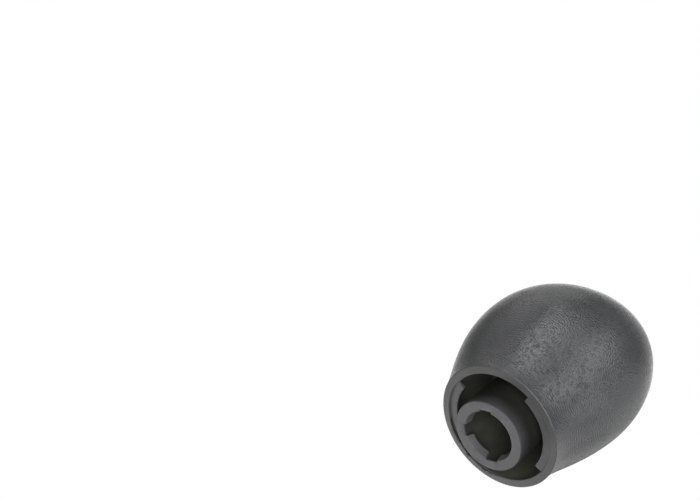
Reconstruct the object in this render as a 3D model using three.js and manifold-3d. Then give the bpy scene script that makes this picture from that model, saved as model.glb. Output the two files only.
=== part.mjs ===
// Gear knob: one plastic moulding. An egg-shaped grip leans a little over a straight socket end.
// The open end has a round rim with two bayonet lips, and a keyed hub stands in the middle of it.
// Millimetres. +Z runs up the socket's axis from the hub's foot, the face that the knob stands on,
// to the crown. The grip leans in the XZ plane, with its belly towards -X and its crown towards +X.

import * as THREE from 'three';
import { mergeVertices } from 'three/addons/utils/BufferGeometryUtils.js';
import Module from 'manifold-3d';

// Grip: heights are above the rim's face.
const rimRadius = 20;
const rimRounding = 0.5;
const rimFlare = 0.1; // how much the grip widens for each millimetre of height just above the rim
const bellyRadius = 26.9;
const bellyHeight = 33;
const crownHeight = 61;
const neckReach = 9; // how far the rim's direction carries up the flank
const bellyReach = 14; // how far the upright tangent at the belly carries down the flank
const waistLean = 3.1; // how far the grip's middle lies to -X of the socket's axis
const crownLean = 3.5; // how far its top lies to +X

// Open end: the ring-shaped hollow between the rim and the hub.
const openingRadius = 17.4;
const hollowDepth = 22;

// Bayonet lips: they close part of the opening just behind the rim's face.
const lipRadius = 15;
const lipThickness = 0.8;
const lipRecess = 0.3;
const lipSpan = THREE.MathUtils.degToRad(90);
const lipTurn = THREE.MathUtils.degToRad(-4); // from the plane in which the grip leans
const lipCount = 2;

// Hub: a tube that stands proud of the rim.
const hubProud = 5.4;
const hubRadius = 11.45;
const hubChamfer = 0.5;

// Socket for the lever: a collar that narrows from the mouth, and a wider bore behind it.
const mouthRadius = 8.1;
const collarRadius = 7.3; // at its deep end, where it is narrowest
const collarDepth = 2.2;
const boreClearance = 1.75; // the bore's wall lies this far outside the collar's deep end
const socketDepth = 38;

// Keyways: slots through the collar, on three of the four quarters.
const keywayWidth = 4.1;
const keywayFloor = 8.5; // from the axis to the slot's flat floor at the mouth
const keywayFace = 0.7; // how thick the floor's edge is before the slot opens into the bore
const keywayQuarters = [1, 2, 3];

const aroundSteps = 72; // facets around the grip
const flankSteps = 10;
const headSteps = 13;
const roundingSteps = 3;
const overrun = 1; // how far a cutting or joining tool runs past the face it works on
const quarterTurn = Math.PI / 2;

const rimZ = hubProud;
const boreRadius = collarRadius + boreClearance;
const hollowTop = rimZ + hollowDepth;

const wasm = await Module();
wasm.setup();

// A closed three.js geometry as a solid for joining and cutting.
function solidOf(geometry) {
  const bare = geometry.clone();
  bare.deleteAttribute('normal');
  bare.deleteAttribute('uv');
  const merged = mergeVertices(bare);
  const corners = merged.index.array;
  const kept = [];
  for (let i = 0; i < corners.length; i += 3) {
    const [a, b, c] = [corners[i], corners[i + 1], corners[i + 2]];
    if (a !== b && b !== c && c !== a) kept.push(a, b, c);
  }
  return new wasm.Manifold(new wasm.Mesh({
    numProp: 3,
    vertProperties: new Float32Array(merged.attributes.position.array),
    triVerts: new Uint32Array(kept),
  }));
}

// The solid's faces as a three.js geometry.
function geometryOf(solid) {
  const mesh = solid.getMesh();
  const geometry = new THREE.BufferGeometry();
  geometry.setAttribute('position', new THREE.BufferAttribute(mesh.vertProperties, 3));
  geometry.setIndex(new THREE.BufferAttribute(mesh.triVerts, 1));
  const flat = geometry.toNonIndexed();
  flat.computeVertexNormals();
  return flat;
}

// A profile of [radius, height] points turned about +Z. It runs upwards along its outside.
function turned(profile, steps = aroundSteps) {
  const points = profile.map(([radius, height]) => new THREE.Vector2(radius, height));
  return new THREE.LatheGeometry(points, steps).rotateX(quarterTurn);
}

// A ring with a square section between two radii and two heights.
function ring(innerRadius, outerRadius, low, high) {
  return turned([
    [innerRadius, low],
    [outerRadius, low],
    [outerRadius, high],
    [innerRadius, high],
    [innerRadius, low],
  ]);
}

// A flat outline raised from one height to another.
function raised(shape, low, high) {
  const curveSegments = aroundSteps / 4;
  const settings = { depth: high - low, bevelEnabled: false, curveSegments };
  return new THREE.ExtrudeGeometry(shape, settings).translate(0, 0, low);
}

// How far the grip's round sections lie to +X of the socket's axis, at a height above the rim.
// The centre line is a parabola through the rim, the waist at half height and the crown.
function leanAt(height) {
  const share = height / crownHeight;
  const waistPart = -waistLean * 4 * share * (1 - share);
  const crownPart = crownLean * share * (2 * share - 1);
  return waistPart + crownPart;
}

// The grip's half outline from the rim's face to the crown.
function gripProfile() {
  const rounding = new THREE.EllipseCurve(
    rimRadius - rimRounding, rimRounding, rimRounding, rimRounding, -quarterTurn, 0);
  const flank = new THREE.CubicBezierCurve(
    new THREE.Vector2(rimRadius, rimRounding),
    new THREE.Vector2(rimRadius + rimFlare * neckReach, neckReach),
    new THREE.Vector2(bellyRadius, bellyHeight - bellyReach),
    new THREE.Vector2(bellyRadius, bellyHeight));
  const head = new THREE.EllipseCurve(
    0, bellyHeight, bellyRadius, crownHeight - bellyHeight, 0, quarterTurn);
  const outline = [
    ...rounding.getPoints(roundingSteps),
    ...flank.getPoints(flankSteps).slice(1),
    ...head.getPoints(headSteps).slice(1, -1),
  ];
  return [[0, 0], ...outline.map((point) => [point.x, point.y]), [0, crownHeight]];
}

function grip() {
  const geometry = turned(gripProfile());
  const places = geometry.attributes.position;
  for (let i = 0; i < places.count; i += 1) {
    places.setX(i, places.getX(i) + leanAt(places.getZ(i)));
  }
  return solidOf(geometry.translate(0, 0, rimZ));
}

// One lip: a sector of a flat ring that reaches into the wall behind it.
function lip(turn) {
  const shape = new THREE.Shape();
  const [from, to] = [turn - lipSpan / 2, turn + lipSpan / 2];
  shape.absarc(0, 0, openingRadius + overrun, from, to, false);
  shape.absarc(0, 0, lipRadius, to, from, true);
  shape.closePath();
  const low = rimZ + lipRecess;
  return solidOf(raised(shape, low, low + lipThickness));
}

// The part of the hub that stands in and below the opening, with a chamfered foot.
function hub() {
  return solidOf(turned([
    [0, 0],
    [hubRadius - hubChamfer, 0],
    [hubRadius, hubChamfer],
    [hubRadius, hollowTop + overrun],
    [0, hollowTop + overrun],
  ]));
}

// The socket's hollow: collar and bore.
function socket() {
  return solidOf(turned([
    [0, -overrun],
    [mouthRadius, -overrun],
    [mouthRadius, 0],
    [collarRadius, collarDepth],
    [boreRadius, collarDepth + boreClearance],
    [boreRadius, socketDepth - boreClearance],
    [boreRadius - boreClearance, socketDepth],
    [0, socketDepth],
  ]));
}

// One keyway: a flat-bottomed slot at the mouth that runs out into the bore.
function keyway(quarter) {
  const slot = new THREE.BoxGeometry(keywayFloor, keywayWidth, collarDepth + overrun);
  slot.translate(keywayFloor / 2, 0, (collarDepth - overrun) / 2);
  const reliefDepth = collarDepth + boreClearance - keywayFace;
  const relief = new THREE.BoxGeometry(boreRadius, keywayWidth, reliefDepth);
  relief.translate(boreRadius / 2, 0, keywayFace + reliefDepth / 2);
  const turn = quarter * quarterTurn;
  return solidOf(slot.rotateZ(turn)).add(solidOf(relief.rotateZ(turn)));
}

function knob() {
  const hollow = solidOf(ring(hubRadius, openingRadius, rimZ - overrun, hollowTop));
  let solid = grip().subtract(hollow).add(hub());
  for (let i = 0; i < lipCount; i += 1) {
    solid = solid.add(lip(lipTurn + i * 2 * Math.PI / lipCount));
  }
  solid = solid.subtract(socket());
  for (const quarter of keywayQuarters) solid = solid.subtract(keyway(quarter));
  return solid;
}

const darkPlastic = new THREE.MeshStandardMaterial({ color: 0x444547, roughness: 0.35, metalness: 0 });

const part = new THREE.Group();
const knobMesh = new THREE.Mesh(geometryOf(knob()), darkPlastic);
knobMesh.name = 'knob';
part.add(knobMesh);

export default part;
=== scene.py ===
# %% [markdown]
# # A gear knob, seen from its open end
#
# The object is the loose knob of a car's gear lever: one dark plastic moulding about 66 mm tall.
# Its grip is an egg with a fine leather grain. Its lower end is open, with a flat rim, two bayonet
# lips for a quarter-turn lock, and a keyed hub that takes the end of the lever.
#
# This lesson loads the measured solid as a fixed frame, models the same moulding again as one fine
# mesh with its small roundings, and gives it six finishes that share a few shader node groups.
# The frame comes first, because the fine mesh has to fit it.

# %% Load the frame
import math
import bpy
from mathutils import Matrix, Vector


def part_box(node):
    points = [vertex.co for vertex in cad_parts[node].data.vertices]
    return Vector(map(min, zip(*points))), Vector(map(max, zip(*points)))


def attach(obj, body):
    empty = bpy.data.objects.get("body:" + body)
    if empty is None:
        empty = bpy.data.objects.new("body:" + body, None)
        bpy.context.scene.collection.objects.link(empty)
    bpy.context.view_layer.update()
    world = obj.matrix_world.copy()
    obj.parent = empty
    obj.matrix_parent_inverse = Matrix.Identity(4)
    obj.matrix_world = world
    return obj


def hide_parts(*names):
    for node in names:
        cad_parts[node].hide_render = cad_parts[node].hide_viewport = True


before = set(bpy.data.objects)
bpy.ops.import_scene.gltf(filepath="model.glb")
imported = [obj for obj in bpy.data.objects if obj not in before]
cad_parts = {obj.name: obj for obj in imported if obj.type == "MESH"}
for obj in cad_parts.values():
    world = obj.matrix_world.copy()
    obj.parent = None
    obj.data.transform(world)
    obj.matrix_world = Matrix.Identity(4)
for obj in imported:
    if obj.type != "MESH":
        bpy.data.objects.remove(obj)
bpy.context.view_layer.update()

# %% [markdown]
# ## Sizes
#
# All sizes are millimetres and are turned into metres once, when the mesh is made. Heights on the
# open end are measured up from the hub's foot, which the knob stands on. Heights on the grip are
# measured up from the rim's face. The belly's radius and the knob's height come from the frame, so
# the fine mesh can't drift away from the solid that it stands for.

# %% Sizes of the grip
MM = 0.001
solid_low, solid_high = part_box("knob")
BELLY_RADIUS = (solid_high.y - solid_low.y) / 2 / MM
KNOB_HEIGHT = solid_high.z / MM
HUB_PROUD = 5.4
CROWN_HEIGHT = KNOB_HEIGHT - HUB_PROUD
RIM_RADIUS = 20.0
RIM_ROUNDING = 0.35
RIM_FLARE = 0.1
BELLY_HEIGHT = 33.0
NECK_REACH = 9.0
BELLY_REACH = 14.0
WAIST_LEAN = 3.1
CROWN_LEAN = 3.5
print("grip", round(2 * BELLY_RADIUS, 1), "mm across,", round(KNOB_HEIGHT, 1), "mm tall with its hub")

# %% [markdown]
# The open end is a ring-shaped hollow between the rim and the hub. Two lips, a quarter turn long
# each, close part of it. The rim's face and the lips' faces aren't quite level: their inner edges
# stand a little lower than their outer ones, and this shows in how they catch the light.

# %% Sizes of the rim, the lips and the hollow
OPENING_RADIUS = 17.4
RIM_DROP = 0.1
HOLLOW_DEPTH = 22.0
HOLLOW_ROUNDING = 1.2
HOLLOW_DRAFT = 0.4
LIP_RADIUS = 15.0
LIP_THICKNESS = 0.8
LIP_RECESS = 0.3
LIP_DROP = 0.12
LIP_SPAN = math.radians(90)
LIP_TURN = math.radians(-4)
LIP_CORNER = 0.45
print("opening", 2 * OPENING_RADIUS, "mm across,", 2 * LIP_RADIUS, "mm between the lips")

# %% [markdown]
# A narrow groove runs round part of the opening, outside one lip, and widens into three small
# pockets. Such marks stay where an insert meets the rest of the mould. A pocket is given by its
# middle and half its width in degrees round the knob, and by how far it widens the groove: outwards
# above 0 and inwards below it.

# %% Sizes of the groove
GROOVE_RADIUS = 18.0
GROOVE_WIDTH = 0.32
GROOVE_DEPTH = 1.2
GROOVE_ENDS = math.radians(98), math.radians(174)
GROOVE_FADE = math.radians(9)
FADED_WIDTH = 0.1
FADED_REACH = 0.3
POCKET_DEPTH = 1.0
GROOVE_POCKETS = [(140.0, 2.2, -0.25), (134.0, 1.6, 0.4), (112.0, 4.0, 0.35)]
print("groove", GROOVE_WIDTH, "mm wide with", len(GROOVE_POCKETS), "pockets")

# %% [markdown]
# The hub is a tube. Its mouth narrows to a collar, and a wider bore lies behind that. Three keyways
# cut the collar on three of its four quarters, so that the knob goes on to the lever in one way
# only. They widen a little from the mouth inwards.

# %% Sizes of the hub and the socket
HUB_RADIUS = 11.45
HUB_CHAMFER = 0.25
HUB_DRAFT = 0.25
MOUTH_RADIUS = 8.1
COLLAR_RADIUS = 7.3
COLLAR_DEPTH = 2.2
BORE_RADIUS = 9.05
SOCKET_DEPTH = 38.0
KEYWAY_WIDTH = 4.1
KEYWAY_FLOOR = 8.5
KEYWAY_FACE = 0.7
KEYWAY_SPREAD = 0.6
KEYWAY_TURNS = [math.radians(a) for a in (88.7, 178.7, 269)]
print("hub", 2 * HUB_RADIUS, "mm across,", len(KEYWAY_TURNS), "keyways", KEYWAY_WIDTH, "mm wide")

# %% [markdown]
# ## The grip's outline
#
# The grip is a turned form that leans: every level section is a true circle, but the circles'
# centres follow a parabola, back over the belly and forward to the crown. The flank is one cubic
# Bezier curve and the head is a quarter of an ellipse. A turned form with a lean could be made with
# a Screw modifier and a Simple Deform, but plain formulas keep it equal to the measured solid.

# %% Outline of the grip
HEAD_ROWS = 44
FLANK_ROWS = 40
ROUNDING_ROWS = 5
QUARTER = math.pi / 2


def lean_at(height):
    """How far the circles' centre lies to +X of the socket's axis."""
    share = height / CROWN_HEIGHT
    return -WAIST_LEAN * 4 * share * (1 - share) + CROWN_LEAN * share * (2 * share - 1)


def bezier(a, b, c, d, t):
    u = 1 - t
    return a * u**3 + 3 * b * u * u * t + 3 * c * u * t * t + d * t**3


def head_rows():
    """From just below the crown down to the belly, as (radius, height) above the rim."""
    rise = CROWN_HEIGHT - BELLY_HEIGHT
    turns = [QUARTER * (1 - i / HEAD_ROWS) for i in range(1, HEAD_ROWS + 1)]
    return [(BELLY_RADIUS * math.cos(a), BELLY_HEIGHT + rise * math.sin(a)) for a in turns]


def flank_rows():
    """From below the belly down to the top of the rim's rounding."""
    radii = (RIM_RADIUS, RIM_RADIUS + RIM_FLARE * NECK_REACH, BELLY_RADIUS, BELLY_RADIUS)
    heights = (RIM_ROUNDING, NECK_REACH, BELLY_HEIGHT - BELLY_REACH, BELLY_HEIGHT)
    steps = [1 - i / FLANK_ROWS for i in range(1, FLANK_ROWS + 1)]
    return [(bezier(*radii, t), bezier(*heights, t)) for t in steps]


def rounding_rows():
    """Round the rim's outer edge and on to its flat face."""
    centre = RIM_RADIUS - RIM_ROUNDING
    turns = [QUARTER * i / ROUNDING_ROWS for i in range(1, ROUNDING_ROWS + 1)]
    return [(centre + RIM_ROUNDING * math.cos(a), RIM_ROUNDING * (1 - math.sin(a))) for a in turns]


grip_rows = head_rows() + flank_rows() + rounding_rows()
print("grip outline:", len(grip_rows), "rows")

# %% [markdown]
# ## The open end's outline
#
# Inside the rim the section changes on the way round: it runs over a lip or straight up the wall,
# and through the collar or through a keyway. Cutting lips and keyways with Boolean modifiers is
# the quick way, but it leaves long thin faces that shade badly next to small roundings. Here every
# section is a list of the same corners in the same order, so lips and keyways grow out of one
# closed grid, and each corner gets a small rounding, as a real mould has. A corner is written as its
# radius, its height and its rounding. Where there is no lip, the corners to spare lie on the wall.

# %% Corners from the rim's face to the wall
CRISP, NEAT, EASED = 0.05, 0.08, 0.12
RIM_EDGE_ROUNDING = 0.2
LIP_ROUNDING = 0.22
STEP_ROUNDING = 0.15
CUT_DRAFT = 0.03
BEVEL_DEPTH = 0.5
BEVEL_ROUNDING = 0.1
RIM_FACE = HUB_PROUD - RIM_DROP
SPARE_CORNERS = (0.35, 0.45, 0.55, 0.7, 0.9, 1.2)


def bare_corners():
    """The rim's inner edge and the plain wall."""
    wall = [(OPENING_RADIUS, HUB_PROUD + up, CRISP) for up in SPARE_CORNERS]
    return [(OPENING_RADIUS + CRISP, RIM_FACE, RIM_EDGE_ROUNDING)] + wall


def groove_corners(groove, pocket):
    """Into the groove and across its floor. With groove at 0 it has shrunk to a hair line."""
    inside = OPENING_RADIUS + FADED_REACH
    outer = inside + (GROOVE_RADIUS - inside) * groove + max(pocket, 0)
    floor = HUB_PROUD + LIP_RECESS + (GROOVE_DEPTH - LIP_RECESS) * groove
    floor += POCKET_DEPTH if pocket else 0
    width = GROOVE_WIDTH * max(groove, FADED_WIDTH) + abs(pocket)
    return [
        (outer, RIM_FACE, EASED),
        (outer - CUT_DRAFT, floor, CRISP),
        (outer - CUT_DRAFT - width, floor, CRISP),
    ]


def lip_corners(reach, groove, pocket):
    """Rim's face, groove, lip and wall; reach and groove run from 0, none, to 1, the whole of it."""
    if reach == 0 and groove == 0:
        return bare_corners()
    cut = groove_corners(groove, pocket)
    ridge = cut[-1][0] - CUT_DRAFT
    inner = OPENING_RADIUS
    if reach == 0:
        edge = (ridge + inner) / 2
        bevel = (inner, HUB_PROUD + BEVEL_DEPTH, BEVEL_ROUNDING)
        wall = (inner, HUB_PROUD + SPARE_CORNERS[-1], CRISP)
        return cut + [(ridge, RIM_FACE, CRISP), (edge, RIM_FACE, BEVEL_ROUNDING), bevel, wall]
    edge = inner + (LIP_RADIUS - inner) * reach
    face, back = HUB_PROUD + LIP_RECESS, HUB_PROUD + LIP_RECESS + LIP_THICKNESS
    lip = [(ridge, face + LIP_DROP * reach, NEAT), (edge, face - LIP_DROP * reach, LIP_ROUNDING)]
    return cut + lip + [(edge, back, LIP_ROUNDING), (inner, back, STEP_ROUNDING)]


print("corners from the rim to the wall:", len(bare_corners()), "and", len(lip_corners(1, 1, 0)))

# %% [markdown]
# The rest of a section goes round the hollow, down the hub and up the socket. Walls that a mould's
# core leaves are given a little draft, so that the core could be drawn out.

# %% Corners of the hollow and the socket
FOOT_ROUNDING = 0.04
BORE_ROUNDING = 0.8
COLLAR_STEP = 1.0
KEYWAY_STEP = 0.6
FLOOR_DRAFT = 0.02


def hollow_corners():
    """Up the wall, across the hollow's floor and down the hub to its foot."""
    top = HUB_PROUD + HOLLOW_DEPTH
    return [
        (OPENING_RADIUS - HOLLOW_DRAFT, top, HOLLOW_ROUNDING),
        (HUB_RADIUS + HUB_DRAFT, top, HOLLOW_ROUNDING),
        (HUB_RADIUS, HUB_CHAMFER, NEAT),
        (HUB_RADIUS - HUB_CHAMFER, 0, FOOT_ROUNDING),
    ]


def socket_corners(floor_radius):
    """The mouth, the collar or a keyway, and the bore; floor_radius is None on the collar."""
    end = [(BORE_RADIUS, SOCKET_DEPTH, BORE_ROUNDING)]
    if floor_radius is None:
        halfway = (MOUTH_RADIUS + COLLAR_RADIUS) / 2
        return [
            (MOUTH_RADIUS, 0, NEAT),
            (halfway, COLLAR_DEPTH / 2, CRISP),
            (COLLAR_RADIUS, COLLAR_DEPTH, NEAT),
            (BORE_RADIUS, COLLAR_DEPTH + COLLAR_STEP, STEP_ROUNDING),
        ] + end
    return [
        (floor_radius, 0, NEAT),
        (floor_radius + FLOOR_DRAFT, KEYWAY_FACE / 2, CRISP),
        (floor_radius + 2 * FLOOR_DRAFT, KEYWAY_FACE, CRISP),
        (BORE_RADIUS, KEYWAY_FACE + KEYWAY_STEP, CRISP),
    ] + end


print("corners in the hollow:", len(hollow_corners()), "and in the socket:", len(socket_corners(None)))

# %% [markdown]
# A corner is rounded with a short curve between its two straight sides, and takes less than half of
# each side, so that neighbouring roundings can't meet. Every corner gets the same number of points
# on every section, so that neighbouring sections join into plain four-sided faces.

# %% Round the corners
CORNER_ROWS = 3
MOST_OF_SIDE = 0.45


def round_corner(before, corner, after):
    """Points on a small curve through the corner, from one side to the other."""
    here = Vector(corner[:2])
    to_before, to_after = Vector(before[:2]) - here, Vector(after[:2]) - here
    reach = min(corner[2], to_before.length * MOST_OF_SIDE, to_after.length * MOST_OF_SIDE)
    start = here + to_before.normalized() * reach
    end = here + to_after.normalized() * reach
    steps = [i / CORNER_ROWS for i in range(CORNER_ROWS + 1)]
    return [start * (1 - t) ** 2 + here * 2 * t * (1 - t) + end * t * t for t in steps]


def end_rows(corners):
    """The rounded section from the rim's face to the socket's floor."""
    first = (RIM_RADIUS - RIM_ROUNDING, HUB_PROUD, 0)
    last = (0, SOCKET_DEPTH, 0)
    path = [first] + corners + [last]
    rounded = []
    for before, corner, after in zip(path, path[1:], path[2:]):
        rounded += round_corner(before, corner, after)
    return rounded


sample = end_rows(lip_corners(1, 1, 0) + hollow_corners() + socket_corners(None))
print("open end:", len(sample), "rows in a section")

# %% [markdown]
# ## What a section meets on the way round
#
# Three small functions say what lies at an angle: how far a lip reaches in, how deep the groove is,
# and how much a pocket widens it. A lip gains the last part of its reach over half a millimetre, so
# its corners come out round, and the groove fades out at its ends.

# %% Lips and groove at an angle
TINY = 1e-6


def angle_gap(a, b):
    """From b to a the short way round, with its sign."""
    return (a - b + math.pi) % (2 * math.pi) - math.pi


def lip_reach(angle):
    """How far the lip reaches in at an angle, from 0 to 1, with its ends' corners rounded."""
    full = OPENING_RADIUS - LIP_RADIUS
    for centre in (LIP_TURN, LIP_TURN + math.pi):
        inside = (LIP_SPAN / 2 - abs(angle_gap(angle, centre))) * LIP_RADIUS
        if inside >= LIP_CORNER:
            return 1.0
        if inside >= -TINY:
            rest = LIP_CORNER - max(inside, 0)
            return (full - LIP_CORNER + math.sqrt(LIP_CORNER**2 - rest**2)) / full
    return 0.0


def groove_share(angle):
    """How deep the groove is at an angle, from 0 to 1: it fades out at its ends."""
    first, last = GROOVE_ENDS
    middle, half = (first + last) / 2, (last - first) / 2
    inside = half - abs(angle_gap(angle, middle))
    return max(0.0, min(1.0, inside / GROOVE_FADE + 0.5))


def groove_pocket(angle):
    """Extra width of the groove in its small pockets: inwards below 0, outwards above it."""
    for middle, half, extra in GROOVE_POCKETS:
        gap = abs(angle_gap(angle, math.radians(middle))) / math.radians(half)
        if gap < 1:
            return extra * (1 - gap**4)
    return 0.0


print("lip's reach at its middle and past its end:", lip_reach(LIP_TURN), lip_reach(LIP_TURN + LIP_SPAN))

# %% [markdown]
# A keyway has a flat floor, so the floor's radius grows from its middle to its edges. Points of the
# sections beside a keyway turn away from it with depth, which makes the slot wider inwards.

# %% Keyways at an angle
KEYWAY_HALF = math.atan(KEYWAY_WIDTH / 2 / KEYWAY_FLOOR)
SPREAD_REACH = 2.4


def keyway_floor(angle):
    """The radius of a keyway's flat floor at an angle, or None on the collar."""
    for centre in KEYWAY_TURNS:
        gap = angle_gap(angle, centre)
        if abs(math.tan(gap)) * KEYWAY_FLOOR <= KEYWAY_WIDTH / 2 + TINY and abs(gap) < QUARTER:
            return KEYWAY_FLOOR / math.cos(gap)
    return None


def keyway_spread(angle, height):
    """How far a point turns away from its keyway: most at the slot's edge, less beside it."""
    depth = min(max(height, 0) / COLLAR_DEPTH, 1)
    for centre in KEYWAY_TURNS:
        gap = angle_gap(angle, centre)
        halves = abs(gap) / KEYWAY_HALF
        if halves < SPREAD_REACH:
            share = min(halves, (SPREAD_REACH - halves) / (SPREAD_REACH - 1))
            return math.copysign(share * depth * KEYWAY_SPREAD / KEYWAY_FLOOR, gap)
    return 0.0


print("half a keyway covers", round(math.degrees(KEYWAY_HALF), 1), "degrees")

# %% [markdown]
# ## Sections round the knob
#
# A plain degree apart is fine enough for the round faces. Where a lip or a keyway ends, extra
# sections stand close together, so that its end face is nearly upright. Plain sections that would
# crowd the extra ones are dropped.

# %% Angles of the sections
SECTIONS_ROUND = 360
CROWDED = math.radians(0.45)
LIP_END_STEP = 0.06
LIP_CORNER_SHARES = (0, 0.05, 0.2, 0.45, 0.7, 1)
KEYWAY_EDGE_STEP = 0.04
FULL_TURN = 2 * math.pi


def extra_angles():
    """Where lips and keyways end, on both sides."""
    marks = []
    for side in (-1, 1):
        for centre in (LIP_TURN, LIP_TURN + math.pi):
            end = centre + side * LIP_SPAN / 2
            marks += [end - side * share * LIP_CORNER / LIP_RADIUS for share in LIP_CORNER_SHARES]
            marks.append(end + side * LIP_END_STEP / LIP_RADIUS)
        for centre in KEYWAY_TURNS:
            marks.append(centre + side * KEYWAY_HALF)
            marks.append(centre + side * (KEYWAY_HALF + KEYWAY_EDGE_STEP / KEYWAY_FLOOR))
    return [mark % FULL_TURN for mark in marks]


def section_angles():
    marks = extra_angles()
    plain = [FULL_TURN * i / SECTIONS_ROUND for i in range(SECTIONS_ROUND)]
    angles = [a for a in plain if all(abs(angle_gap(a, mark)) > CROWDED for mark in marks)]
    return sorted(angles + marks)


angles = section_angles()
print("sections:", len(angles))

# %% [markdown]
# ## The moulding as one closed mesh
#
# Two single points close the grid, at the crown and in the middle of the socket's floor. The
# grip's rows lean and the open end's rows don't, because the socket is straight. Each face gets one
# of six finishes by the row that it lies in, from the grained grip to the dull bore. A section's
# corners are numbered from the rim inwards: 0 to 6 end on the opening's wall, 7 to 10 at the hub's
# foot and 11 to 15 at the bore's floor. The groove's faces take the bore's dull, darker finish, which
# is painted shade in the groove.

# %% A finish for each row
GRIP, END, HOLLOW, HUB_SIDE, HUB_END, BORE = range(6)
POINTS_PER_CORNER = CORNER_ROWS + 1
# The pale finish of the hub's end also covers the mouth and the collar's wall, which is painted light
# there.
FIRST_CORNER_OF = {BORE: 14, HUB_END: 10, HUB_SIDE: 8, HOLLOW: 6}
GROOVE_ROWS = range(2, 12)
GROOVE_SHOWS = 0.4


def finish_of(row, rows_to_rim, grooved):
    """Which finish a row of faces has."""
    if row < rows_to_rim - ROUNDING_ROWS:
        return GRIP
    # The groove's faces take the bore's darker finish, as painted shade in the groove.
    if grooved and row - rows_to_rim in GROOVE_ROWS:
        return BORE
    corner = (row - rows_to_rim) / POINTS_PER_CORNER
    for name, first_corner in FIRST_CORNER_OF.items():
        if corner >= first_corner:
            return name
    return END


print("first corners: hollow", FIRST_CORNER_OF[HOLLOW], "and bore", FIRST_CORNER_OF[BORE])

# %% [markdown]
# The points of the mesh come first: one column of them for each angle, from the crown over the
# grip and the open end to the socket's floor.

# %% Points of the mesh


def column_at(angle):
    """The points of one section, in millimetres."""
    c, s = math.cos(angle), math.sin(angle)
    column = [(r * c + lean_at(h), r * s, h + HUB_PROUD) for r, h in grip_rows]
    lip = lip_corners(lip_reach(angle), groove_share(angle), groove_pocket(angle))
    for p in end_rows(lip + hollow_corners() + socket_corners(keyway_floor(angle))):
        turn = angle + keyway_spread(angle, p.y)
        column.append((p.x * math.cos(turn), p.x * math.sin(turn), p.y))
    return column


columns = [column_at(angle) for angle in angles]
rows = len(columns[0])
points = [(lean_at(CROWN_HEIGHT), 0, KNOB_HEIGHT)]
for column in columns:
    points += column
points.append((0, 0, SOCKET_DEPTH))
print("points:", len(points), "in columns of", rows)

# %% [markdown]
# Faces join each column to the next one, and the two single points close the ends. The corners that
# stand proud are marked on their points, and the rim's rounding less strongly, so that the finishes
# can rub them paler later on.

# %% Faces of the mesh
PROUD_CORNERS = (4, 9, 10, 11)
RIM_MARKS = [0.2, 0.4, 0.4, 0.4, 0.2]
SHARP_ANGLE = math.radians(38)


def join_columns():
    """Faces of the whole grid, and the number of the finish that each one has."""
    faces, finishes = [], []
    for i, angle in enumerate(angles):
        a = 1 + i * rows
        b = 1 + (i + 1) % len(angles) * rows
        grooved = groove_share(angle) > GROOVE_SHOWS
        faces.append((0, a, b))
        faces += [(a + row, a + row + 1, b + row + 1, b + row) for row in range(rows - 1)]
        faces.append((a + rows - 1, len(points) - 1, b + rows - 1))
        finishes += [GRIP] + [finish_of(row, len(grip_rows), grooved) for row in range(rows - 1)] + [BORE]
    return faces, finishes


def proud_marks():
    """One mark a row: 1 on the proud corners' roundings, less on the rim's, and 0 elsewhere."""
    marks = [0.0] * (len(grip_rows) - ROUNDING_ROWS) + RIM_MARKS
    for corner in range((rows - len(grip_rows)) // POINTS_PER_CORNER):
        worn = 1.0 if corner in PROUD_CORNERS else 0.0
        marks += [0.0, worn, worn, 0.0]
    return marks


faces, numbers = join_columns()
mesh = bpy.data.meshes.new("moulded_knob")
mesh.from_pydata([(x * MM, y * MM, z * MM) for x, y, z in points], [], faces)
mesh.polygons.foreach_set("material_index", numbers)
mesh.polygons.foreach_set("use_smooth", [True] * len(faces))
mesh.validate()
marks = [0.0] + proud_marks() * len(angles) + [0.0]
mesh.attributes.new("proud_edge", "FLOAT", "POINT").data.foreach_set("value", marks)
mesh.set_sharp_from_angle(angle=SHARP_ANGLE)
print("mesh:", len(mesh.vertices), "vertices,", len(mesh.polygons), "faces")

# %% [markdown]
# The mesh becomes an object. A Weighted Normal modifier makes the broad faces shade evenly and
# leaves the bend in the shading to the small roundings.

# %% Make the object
knob = bpy.data.objects.new("moulded_knob", mesh)
bpy.context.scene.collection.objects.link(knob)
even = knob.modifiers.new("even shading", "WEIGHTED_NORMAL")
even.keep_sharp = True
print("object:", knob.name, "with", [m.name for m in knob.modifiers])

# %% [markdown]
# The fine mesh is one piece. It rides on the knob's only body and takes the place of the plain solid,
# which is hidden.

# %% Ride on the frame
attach(knob, "root")
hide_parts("knob")
print("box of the fine mesh in mm:", [round(s / MM, 2) for s in knob.dimensions])

# %% [markdown]
# ## Helpers for shader nodes
#
# Every finish is made of a few shared effects. Each effect is a node group with named inputs and
# outputs, so that a finish only sets its own values. Three small helpers keep the node code short:
# one makes an empty group, one adds a node with its settings, and one joins two sockets.

# %% Node helpers


def new_group(name, inputs, outputs):
    group = bpy.data.node_groups.new(name, "ShaderNodeTree")
    for label, kind, value in inputs:
        socket = group.interface.new_socket(label, in_out="INPUT", socket_type=kind)
        socket.default_value = value
    for label, kind in outputs:
        group.interface.new_socket(label, in_out="OUTPUT", socket_type=kind)
    return group, group.nodes.new("NodeGroupInput"), group.nodes.new("NodeGroupOutput")


def add(tree, kind, values=None, **settings):
    node = tree.nodes.new(kind)
    for name, value in settings.items():
        setattr(node, name, value)
    for name, value in (values or {}).items():
        node.inputs[name].default_value = value
    return node


def join(tree, source, target):
    tree.links.new(source, target)


FLOAT = "NodeSocketFloat"
COLOUR = "NodeSocketColor"
print("node helpers ready")

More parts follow.
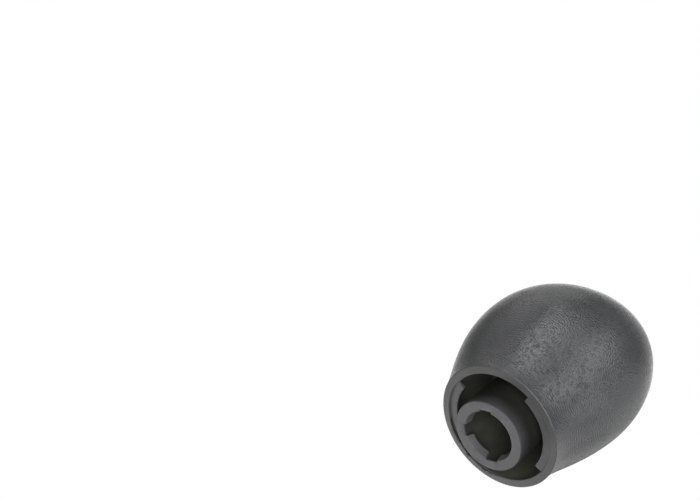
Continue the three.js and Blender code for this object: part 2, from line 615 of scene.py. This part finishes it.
# %% [markdown]
# ## Leather grain
#
# The grip's mould is etched with a very fine leather: creases less than a millimetre apart, which
# run side by side for a little way and then turn. A Gabor texture makes such short streaks. A slow
# noise gives them their direction, and its cross product with the surface's normal lays that
# direction flat on the skin. The Gabor node has two sockets called Orientation: number 5 is the one
# for 3D. Lengths are in millimetres of the object, so the grain has its true size and stays where
# it is when the camera moves.

# %% Leather grain group
ORIENTATION_3D = 5
grain, grain_in, grain_out = new_group(
    "leather grain",
    [("Cell Size", FLOAT, 0.8), ("Directness", FLOAT, 0.8)],
    [("Height", FLOAT), ("Crease", FLOAT)])
place = add(grain, "ShaderNodeTexCoord")
in_mm = add(grain, "ShaderNodeVectorMath", {"Scale": 1 / MM}, operation="SCALE")
turning = add(grain, "ShaderNodeTexNoise", {"Scale": 0.06, "Detail": 1.0, "Roughness": 0.5})
centred = add(grain, "ShaderNodeVectorMath", {1: (0.5, 0.5, 0.5)}, operation="SUBTRACT")
along = add(grain, "ShaderNodeVectorMath", operation="CROSS_PRODUCT")
finer = add(grain, "ShaderNodeMath", {0: 0.5}, operation="DIVIDE")
streaks = add(grain, "ShaderNodeTexGabor", {"Frequency": 2.0}, gabor_type="3D")
crease = add(grain, "ShaderNodeMapRange", {"From Min": 0.5, "From Max": 0.25})
print("leather grain:", len(grain.nodes), "nodes")

# %% [markdown]
# The links run from the place on the knob to the streaks' direction, then to the streaks, and out
# as a height and as a mask of the creases, which are the streaks' low parts.

# %% Links of the leather grain
join(grain, place.outputs["Object"], in_mm.inputs["Vector"])
join(grain, in_mm.outputs["Vector"], turning.inputs["Vector"])
join(grain, turning.outputs["Color"], centred.inputs[0])
join(grain, centred.outputs["Vector"], along.inputs[0])
join(grain, place.outputs["Normal"], along.inputs[1])
join(grain, along.outputs["Vector"], streaks.inputs[ORIENTATION_3D])
join(grain, grain_in.outputs["Cell Size"], finer.inputs[1])
join(grain, in_mm.outputs["Vector"], streaks.inputs["Vector"])
join(grain, finer.outputs["Value"], streaks.inputs["Scale"])
join(grain, grain_in.outputs["Directness"], streaks.inputs["Anisotropy"])
join(grain, streaks.outputs["Value"], crease.inputs["Value"])
join(grain, streaks.outputs["Value"], grain_out.inputs["Height"])
join(grain, crease.outputs["Result"], grain_out.inputs["Crease"])
print("leather grain:", len(grain.links), "links")

# %% [markdown]
# ## Tone of the plastic
#
# Moulded plastic is never quite one colour: the tone drifts over some millimetres and has a fine
# speckle. Two noise textures of different size do that, and the same drift also moves the roughness
# a little, which breaks up the highlights as handling does.

# %% Mould tone group
tone, tone_in, tone_out = new_group(
    "mould tone",
    [("Deep Tone", COLOUR, (0.05, 0.05, 0.05, 1)), ("Pale Tone", COLOUR, (0.07, 0.07, 0.07, 1)),
     ("Drift Size", FLOAT, 7.0), ("Roughness Low", FLOAT, 0.3), ("Roughness High", FLOAT, 0.4)],
    [("Color", COLOUR), ("Roughness", FLOAT)])
tone_place = add(tone, "ShaderNodeTexCoord")
tone_mm = add(tone, "ShaderNodeVectorMath", {"Scale": 1 / MM}, operation="SCALE")
drift_scale = add(tone, "ShaderNodeMath", {0: 1.0}, operation="DIVIDE")
drift = add(tone, "ShaderNodeTexNoise", {"Detail": 3.0, "Roughness": 0.6})
speckle = add(tone, "ShaderNodeTexNoise", {"Scale": 3.1, "Detail": 2.0})
blend = add(tone, "ShaderNodeMath", {1: 0.35}, operation="MULTIPLY_ADD")
spread = add(tone, "ShaderNodeMapRange", {"From Min": 0.45, "From Max": 0.9})
shade = add(tone, "ShaderNodeMix", data_type="RGBA")
gloss = add(tone, "ShaderNodeMapRange", {"From Min": 0.3, "From Max": 0.7})
print("mould tone:", len(tone.nodes), "nodes")

# %% [markdown]
# The drift and about a third of the speckle are added up, and their sum picks a colour between the
# deep tone and the pale one. The drift alone picks the roughness.

# %% Links of the mould tone
join(tone, tone_place.outputs["Object"], tone_mm.inputs["Vector"])
join(tone, tone_in.outputs["Drift Size"], drift_scale.inputs[1])
join(tone, tone_mm.outputs["Vector"], drift.inputs["Vector"])
join(tone, drift_scale.outputs["Value"], drift.inputs["Scale"])
join(tone, tone_mm.outputs["Vector"], speckle.inputs["Vector"])
join(tone, speckle.outputs["Fac"], blend.inputs[0])
join(tone, drift.outputs["Fac"], blend.inputs[2])
join(tone, blend.outputs["Value"], spread.inputs["Value"])
join(tone, spread.outputs["Result"], shade.inputs["Factor"])
join(tone, tone_in.outputs["Deep Tone"], shade.inputs["A"])
join(tone, tone_in.outputs["Pale Tone"], shade.inputs["B"])
join(tone, drift.outputs["Fac"], gloss.inputs["Value"])
join(tone, tone_in.outputs["Roughness Low"], gloss.inputs["To Min"])
join(tone, tone_in.outputs["Roughness High"], gloss.inputs["To Max"])
join(tone, shade.outputs["Result"], tone_out.inputs["Color"])
join(tone, gloss.outputs["Result"], tone_out.inputs["Roughness"])
print("mould tone:", len(tone.links), "links")

# %% [markdown]
# ## Rubbed edges
#
# Hands polish the proud edges first, and so does every fitting and pulling off. The mesh knows
# where its roundings are, so it carries a mark on every vertex that lies on a proud corner.
# The group reads that mark and breaks it up with noise, so that the rub comes and goes.

# %% Rubbed edge group
rub, rub_in, rub_out = new_group("rubbed edge", [("Amount", FLOAT, 0.5)], [("Mask", FLOAT)])
mark = add(rub, "ShaderNodeAttribute", attribute_name="proud_edge")
rub_place = add(rub, "ShaderNodeTexCoord")
patches = add(rub, "ShaderNodeTexNoise", {"Scale": 700.0, "Detail": 4.0, "Roughness": 0.7})
broken = add(rub, "ShaderNodeMapRange", {"From Min": 0.4, "From Max": 0.62})
worn = add(rub, "ShaderNodeMath", operation="MULTIPLY")
held = add(rub, "ShaderNodeMath", operation="MULTIPLY", use_clamp=True)
join(rub, rub_place.outputs["Object"], patches.inputs["Vector"])
join(rub, patches.outputs["Fac"], broken.inputs["Value"])
join(rub, broken.outputs["Result"], worn.inputs[0])
join(rub, mark.outputs["Fac"], worn.inputs[1])
join(rub, worn.outputs["Value"], held.inputs[0])
join(rub, rub_in.outputs["Amount"], held.inputs[1])
join(rub, held.outputs["Value"], rub_out.inputs["Mask"])
print("rubbed edge:", len(rub.nodes), "nodes")

# %% [markdown]
# ## Six finishes of one plastic
#
# The moulding is one dark, slightly cool plastic. The grip is grained, the rim and the lips are
# smooth satin, the hub's end is a little paler, and the hollow, the hub's side and the bore are
# left as the mould's cores leave them, duller and less even. Each finish is the same small network,
# built in four steps. In the first the tone group gives colour and roughness, and the rub lightens
# and polishes the proud edges.

# %% Tone of a finish
RUBBED_PALER = 1.7
RUBBED_SMOOTHER = 0.9


def rubbed_tone(tree, deep, pale, rough, drift, rub):
    """The sockets of colour and roughness. Drift is a length in mm, and rough is a low and a high."""
    tones = add(tree, "ShaderNodeGroup", node_tree=bpy.data.node_groups["mould tone"])
    tones.inputs["Deep Tone"].default_value = (*deep, 1)
    tones.inputs["Pale Tone"].default_value = (*pale, 1)
    tones.inputs["Drift Size"].default_value = drift
    tones.inputs["Roughness Low"].default_value = rough[0]
    tones.inputs["Roughness High"].default_value = rough[1]
    rubbed = add(tree, "ShaderNodeGroup", {"Amount": rub}, node_tree=bpy.data.node_groups["rubbed edge"])
    lighter = add(tree, "ShaderNodeMix", data_type="RGBA")
    lighter.inputs["B"].default_value = (*[c * RUBBED_PALER for c in pale], 1)
    polished = add(tree, "ShaderNodeMix", {"B": rough[0] * RUBBED_SMOOTHER}, data_type="FLOAT")
    join(tree, rubbed.outputs["Mask"], lighter.inputs["Factor"])
    join(tree, tones.outputs["Color"], lighter.inputs["A"])
    join(tree, rubbed.outputs["Mask"], polished.inputs["Factor"])
    join(tree, tones.outputs["Roughness"], polished.inputs["A"])
    return lighter.outputs["Result"], polished.outputs["Result"]


print("a rubbed edge is", RUBBED_PALER, "times as pale and", RUBBED_SMOOTHER, "times as rough")

# %% [markdown]
# In the second step the creases of the grain darken the colour, which is painted shade in the creases,
# and the grain's height goes through a Bump node. Relief is the height in millimetres between the top
# of a streak and its crease.

# %% Grain of a finish


def grained(tree, colour, cell, directness, crease, relief):
    """The sockets of the colour with painted shade in its creases, and of the bumpy normal."""
    leather = add(tree, "ShaderNodeGroup", node_tree=bpy.data.node_groups["leather grain"])
    leather.inputs["Cell Size"].default_value = cell
    leather.inputs["Directness"].default_value = directness
    creased = add(tree, "ShaderNodeMix", data_type="RGBA", blend_type="MULTIPLY")
    creased.inputs["B"].default_value = (crease, crease, crease, 1)
    bumps = add(tree, "ShaderNodeBump", {"Strength": 1.0, "Distance": relief * MM})
    join(tree, leather.outputs["Crease"], creased.inputs["Factor"])
    join(tree, colour, creased.inputs["A"])
    join(tree, leather.outputs["Height"], bumps.inputs["Height"])
    return creased.outputs["Result"], bumps.outputs["Normal"]


print("the grain darkens a finish and makes it bumpy")

# %% [markdown]
# The third step is for the hub's side only. It gets darker inwards, which is painted shade where the
# light fades into the hollow. The height of a point above the hub's foot gives the darkening.

# %% Painted shade inwards
PAINTED_SHADE_START, PAINTED_SHADE_END = 0.5 * MM, 4.5 * MM
DEEPEST_PAINTED_SHADE = (0.5, 0.5, 0.43, 1)


def painted_depth_shade(tree, colour):
    """The socket of the colour with its painted shade."""
    where = add(tree, "ShaderNodeTexCoord")
    split = add(tree, "ShaderNodeSeparateXYZ")
    depth = add(tree, "ShaderNodeMapRange", {"From Min": PAINTED_SHADE_START, "From Max": PAINTED_SHADE_END})
    darker = add(tree, "ShaderNodeMix", {"B": DEEPEST_PAINTED_SHADE}, data_type="RGBA", blend_type="MULTIPLY")
    join(tree, where.outputs["Object"], split.inputs["Vector"])
    join(tree, split.outputs["Z"], depth.inputs["Value"])
    join(tree, depth.outputs["Result"], darker.inputs["Factor"])
    join(tree, colour, darker.inputs["A"])
    return darker.outputs["Result"]


print("the hub's side darkens from", PAINTED_SHADE_START / MM, "to", PAINTED_SHADE_END / MM, "mm above its foot")

# %% [markdown]
# The last step makes the material and joins the others to its shader. How strongly the plastic
# mirrors is the same all over a finish, so it is set on the shader itself.

# %% Finish builder


def finish(name, deep, pale, rough, shine, drift, rub, cell, directness, crease, relief, paints_shade=False):
    material = bpy.data.materials.new(name)
    material.use_nodes = True
    tree = material.node_tree
    shader = tree.nodes["Principled BSDF"]
    shader.inputs["Specular IOR Level"].default_value = shine
    colour, roughness = rubbed_tone(tree, deep, pale, rough, drift, rub)
    colour, normal = grained(tree, colour, cell, directness, crease, relief)
    # The hub's side gets painted shade, darker inwards.
    if paints_shade:
        colour = painted_depth_shade(tree, colour)
    join(tree, colour, shader.inputs["Base Color"])
    join(tree, roughness, shader.inputs["Roughness"])
    join(tree, normal, shader.inputs["Normal"])
    return material


print("finish builder ready")

# %% [markdown]
# The six finishes, in the order of the numbers that the faces carry. Colours are linear. The inside
# has a slightly warm, dull look, and the hub's end face is a little paler than the rim. The hollow's
# colour is paler than the grip's and the rim's, which is painted light where the lamps reach too little
# into it, and the hub's side has painted shade, darker inwards.

# %% Make the finishes
finishes = [
    finish("grained grip", deep=(0.045, 0.046, 0.0487), pale=(0.061, 0.062, 0.0657), rough=(0.28, 0.35),
           shine=0.75, drift=7, rub=0.2, cell=0.78, directness=0.55, crease=0.5, relief=0.15),
    finish("smooth end", deep=(0.060, 0.060, 0.061), pale=(0.075, 0.075, 0.076), rough=(0.38, 0.48),
           shine=0.5, drift=5, rub=0.2, cell=0.3, directness=0.3, crease=0.93, relief=0.003),
    finish("dull hollow with painted light", deep=(0.068, 0.070, 0.053), pale=(0.090, 0.092, 0.072), rough=(0.5, 0.65),
           shine=0.3, drift=4, rub=0.0, cell=0.6, directness=0.5, crease=0.9, relief=0.01),
    finish("dull hub side with painted shade", deep=(0.032, 0.032, 0.034), pale=(0.042, 0.042, 0.045), rough=(0.5, 0.65),
           shine=0.3, drift=4, rub=0.0, cell=0.6, directness=0.5, crease=0.9, relief=0.01, paints_shade=True),
    finish("pale hub end", deep=(0.072, 0.072, 0.075), pale=(0.088, 0.088, 0.092), rough=(0.38, 0.48),
           shine=0.5, drift=5, rub=0.15, cell=0.3, directness=0.3, crease=0.93, relief=0.003),
    finish("dull bore", deep=(0.029, 0.030, 0.025), pale=(0.040, 0.041, 0.035), rough=(0.5, 0.65),
           shine=0.3, drift=4, rub=0.0, cell=0.6, directness=0.5, crease=0.9, relief=0.01),
]
for material in finishes:
    knob.data.materials.append(material)
print("finishes:", [material.name for material in finishes])

# %% [markdown]
# ## Softboxes
#
# Dark satin plastic shows mostly what it reflects, so the highlights on the grip are pictures of
# the lamps. Each softbox below is a disc-shaped area lamp 0.6 m from the knob. Its place is given as
# seen from the knob: degrees round from +X and degrees above the floor. Its level is its brightness
# against a white card, so the lamps' power never has to be guessed. The key and the low back sweep
# stand below the floor's level, because the photo looks at the knob's underside, and the floor
# doesn't stop their light.

# %% Softboxes
KNOB_MIDDLE = Vector((-0.003, 0, 0.036))
LAMP_DISTANCE = 0.6
LAMP_SIZE = 0.44


def direction(azimuth, elevation):
    a, e = math.radians(azimuth), math.radians(elevation)
    return Vector((math.cos(e) * math.cos(a), math.cos(e) * math.sin(a), math.sin(e)))


def softbox(name, azimuth, elevation, level, size=LAMP_SIZE):
    data = bpy.data.lights.new(name, "AREA")
    data.shape = "DISK"
    data.size = size
    data.energy = level * math.pi * math.pi * (size / 2) ** 2
    lamp = bpy.data.objects.new(name, data)
    bpy.context.scene.collection.objects.link(lamp)
    towards = direction(azimuth, elevation)
    lamp.location = KNOB_MIDDLE + towards * LAMP_DISTANCE
    lamp.rotation_euler = towards.to_track_quat("Z", "Y").to_euler()
    lamp.visible_camera = False
    return lamp


softbox("key beside the camera", -30, -51, 6.6, size=0.56)
softbox("front strip right", -18, 20, 2.1, size=0.255)
softbox("front strip middle", -37, 28, 2.1, size=0.24)
softbox("front strip left", -68, 18, 1.65, size=0.255)
softbox("left side", -89, 14, 3.35, size=0.255)
softbox("right side", 12, 11, 2.2, size=0.255)
softbox("low back sweep", 138, -14, 3.55)
softbox("right edge", 44, 37, 0.57)
softbox("left edge low", -136, 19, 0.32)
softbox("left edge high", -131, 48, 0.7)
softbox("back side", 88, 44, 0.53)
softbox("top back", 123, 68, 0.9)
softbox("far back", 154, 50, 1.1)

# %% [markdown]
# ## White surroundings
#
# The photo's background is plain white. The world is pure white where the camera looks at it, and
# gloss and glass also see it, at a fifth of that, because a full white all round would wash the
# dark plastic's reflections out. The light that it adds to the matt part of the colour is low, so
# the softboxes do the modelling.

# %% World
SEEN_WHITE = 1.0
SEEN_IN_GLOSS = 0.2
LIGHT_LEVEL = 0.1
world = bpy.data.worlds.new("white studio")
bpy.context.scene.world = world
world.use_nodes = True
sky = world.node_tree
backdrop = sky.nodes["Background"]
backdrop.inputs["Color"].default_value = (1, 1, 1, 1)
rays = add(sky, "ShaderNodeLightPath")
shiny = add(sky, "ShaderNodeMath", operation="ADD", use_clamp=True)
level = add(sky, "ShaderNodeMapRange", {"To Min": LIGHT_LEVEL, "To Max": SEEN_IN_GLOSS})
seen = add(sky, "ShaderNodeMix", {"B": SEEN_WHITE}, data_type="FLOAT")
join(sky, rays.outputs["Is Glossy Ray"], shiny.inputs[0])
join(sky, rays.outputs["Is Transmission Ray"], shiny.inputs[1])
join(sky, shiny.outputs["Value"], level.inputs["Value"])
join(sky, rays.outputs["Is Camera Ray"], seen.inputs["Factor"])
join(sky, level.outputs["Result"], seen.inputs["A"])
join(sky, seen.outputs["Result"], backdrop.inputs["Strength"])
print("world: camera", SEEN_WHITE, "gloss", SEEN_IN_GLOSS, "light", LIGHT_LEVEL)

# %% [markdown]
# ## Pale floor
#
# The knob stands on its hub, as a loose knob does on a bench, but the photo is taken from below that
# level, so a solid floor would hide everything. This floor is one-sided: seen from above it is pale
# and keeps the knob's shadow, and seen from beneath it isn't there. Object settings keep it out of
# the light's way, and its rim fades into the white surroundings so that no edge shows.

# %% Floor
FLOOR_RADIUS = 1.2
bpy.ops.mesh.primitive_circle_add(vertices=96, radius=FLOOR_RADIUS, fill_type="NGON")
floor = bpy.context.object
floor.name = "pale_floor"
floor.visible_diffuse = False
floor.visible_glossy = False
floor.visible_transmission = False
floor.visible_shadow = False
print("floor at z =", round(floor.location.z, 4), "and", FLOOR_RADIUS, "m in radius")

# %% [markdown]
# The floor's material is a matt card that fades into plain white with the distance from the knob,
# and is clear on its underside.

# %% Floor material
FADE_START, FADE_END, FADE_LEAST = 0.06, 0.35, 0.4
pale = bpy.data.materials.new("pale floor")
pale.use_nodes = True
floor.data.materials.append(pale)
tree = pale.node_tree
card = tree.nodes["Principled BSDF"]
card.inputs["Base Color"].default_value = (0.8, 0.8, 0.8, 1)
card.inputs["Roughness"].default_value = 0.9
card.inputs["Specular IOR Level"].default_value = 0.1
side = add(tree, "ShaderNodeNewGeometry")
clear = add(tree, "ShaderNodeBsdfTransparent")
white = add(tree, "ShaderNodeEmission", {"Color": (1, 1, 1, 1), "Strength": 1.0})
where = add(tree, "ShaderNodeTexCoord")
away = add(tree, "ShaderNodeVectorMath", operation="LENGTH")
fade = add(tree, "ShaderNodeMapRange", interpolation_type="SMOOTHSTEP")
fade.inputs["From Min"].default_value = FADE_START
fade.inputs["From Max"].default_value = FADE_END
fade.inputs["To Min"].default_value = FADE_LEAST
faded = add(tree, "ShaderNodeMixShader")
one_sided = add(tree, "ShaderNodeMixShader")
join(tree, where.outputs["Object"], away.inputs[0])
join(tree, away.outputs["Value"], fade.inputs["Value"])
join(tree, fade.outputs["Result"], faded.inputs["Fac"])
join(tree, card.outputs["BSDF"], faded.inputs[1])
join(tree, white.outputs["Emission"], faded.inputs[2])
join(tree, side.outputs["Backfacing"], one_sided.inputs["Fac"])
join(tree, faded.outputs["Shader"], one_sided.inputs[1])
join(tree, clear.outputs["BSDF"], one_sided.inputs[2])
join(tree, one_sided.outputs["Shader"], tree.nodes["Material Output"].inputs["Surface"])
print("the floor fades to white between", FADE_START, "and", FADE_END, "m from its middle")

# %% [markdown]
# ## Camera
#
# The rim is a circle, so its outline in the photo tells where the camera was: 0.61 m from the rim,
# 42 degrees below it and 45 degrees to one side, with a long lens. The camera's aim and its roll
# about the line of sight put the knob in the lower right of the frame, as in the photo.

# %% Camera
RIM_CENTRE = Vector((0, 0, HUB_PROUD * MM))
CAMERA_SIDE, CAMERA_BELOW, CAMERA_DISTANCE = -45.0, -42.028, 0.61093
AIM_SIDE, AIM_UP, ROLL = 143.440, 41.709, 55.678
lens = bpy.data.cameras.new("camera")
lens.sensor_width = 36
lens.lens = 108
camera = bpy.data.objects.new("camera", lens)
bpy.context.scene.collection.objects.link(camera)
level_view = direction(AIM_SIDE, AIM_UP).to_track_quat("-Z", "Y").to_matrix()
camera.matrix_world = (
    Matrix.Translation(RIM_CENTRE + direction(CAMERA_SIDE, CAMERA_BELOW) * CAMERA_DISTANCE)
    @ level_view.to_4x4()
    @ Matrix.Rotation(math.radians(ROLL), 4, "Z")
)
bpy.context.scene.camera = camera
print("camera at", [round(v, 4) for v in camera.matrix_world.translation])

# %% [markdown]
# ## Hand over
#
# The Standard view transform shows the colours as they are lit.

# %% Finish
bpy.context.scene.view_settings.view_transform = "Standard"
